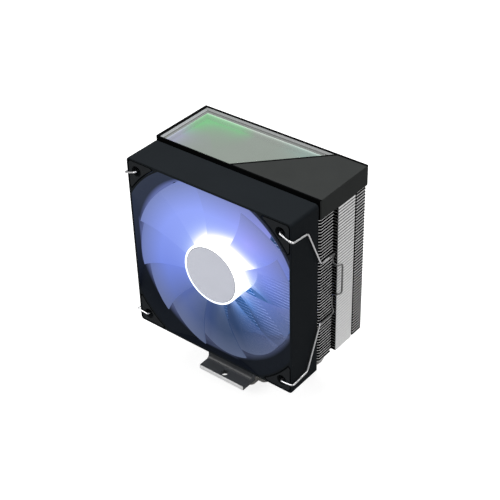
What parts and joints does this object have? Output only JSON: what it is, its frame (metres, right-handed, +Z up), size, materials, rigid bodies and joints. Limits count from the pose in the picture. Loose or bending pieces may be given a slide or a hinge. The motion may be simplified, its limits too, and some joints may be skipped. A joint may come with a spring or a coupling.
{
  "type": "cpu tower cooler",
  "caption": "Tower cooler for a computer processor: fin stack on heat pipes, lit mirror cover on top, fan with frosted blades held in front by wire clips.",
  "frame": {"origin": "centre of the contact face under the base plate", "axes": "+Z up from the contact face, the fan faces -Y, and +X points to the right of a viewer who faces the fan"},
  "size_m": [0.1262, 0.0951, 0.1519],
  "materials": {
    "contact_plate": "satin nickel plating",
    "block_metal": "milled",
    "pipe_metal": "nickel-plated tube",
    "fin_sheet": "bare rolled sheet",
    "bar_metal": "black coating, bright cut edge",
    "screw_steel": "plated",
    "cover_plastic": "fine moulded grain",
    "pane_glass": "half mirror",
    "rear_mirror": "silvered",
    "light_diffuser": "lit, milky",
    "led_board": "flexible board",
    "frame_plastic": "fine moulded grain",
    "pad_rubber": "matt",
    "bearing_bronze": "sintered",
    "bearing_plastic": "plain",
    "core_steel": "stamped",
    "coil_wire": "enamelled copper",
    "board_green": "lacquered",
    "led_body": "clear",
    "blade_plastic": "frosted, lit from the hub",
    "cap_plastic": "satin",
    "magnet": "bonded magnet",
    "clip_wire": "bright drawn wire"
  },
  "bodies": {
    "root": {"base_plate": "contact_plate", "base_block": "block_metal", "heat_pipe_1": "pipe_metal", "heat_pipe_2": "pipe_metal", "heat_pipe_3": "pipe_metal", "heat_pipe_4": "pipe_metal", "fin_stack": "fin_sheet", "mounting_bar": "bar_metal", "bar_screws": "screw_steel", "top_cover": "cover_plastic", "mirror_glass": "pane_glass", "mirror_back": "rear_mirror", "light_guide": "light_diffuser", "led_strip": "led_board", "fan_frame": "frame_plastic", "front_pads": "pad_rubber", "rear_pads": "pad_rubber", "bearing_sleeve": "bearing_bronze", "thrust_pad": "bearing_plastic", "stator_core": "core_steel", "stator_coils": "coil_wire", "fan_board": "board_green", "hub_leds": "led_body"},
    "impeller": {"impeller": "blade_plastic", "hub_cap": "cap_plastic", "rotor_cup": "core_steel", "magnet_ring": "magnet", "shaft": "screw_steel", "retaining_ring": "bearing_plastic"},
    "clip_left": {"clip_left": "clip_wire"},
    "clip_right": {"clip_right": "clip_wire"}
  },
  "joints": [
    {"name": "fan_spin", "type": "hinge", "parent": "root", "child": "impeller", "pos_m": [0, -0.0371, 0.09], "axis": [0, -1, 0], "continuous": true},
    {"name": "clip_left_release", "type": "hinge", "parent": "root", "child": "clip_left", "pos_m": [-0.0525, -0.0507, 0.09], "axis": [0, 0, 1], "range_deg": [0, 25]},
    {"name": "clip_right_release", "type": "hinge", "parent": "root", "child": "clip_right", "pos_m": [0.0525, -0.0507, 0.09], "axis": [0, 0, -1], "range_deg": [0, 25]}
  ]
}
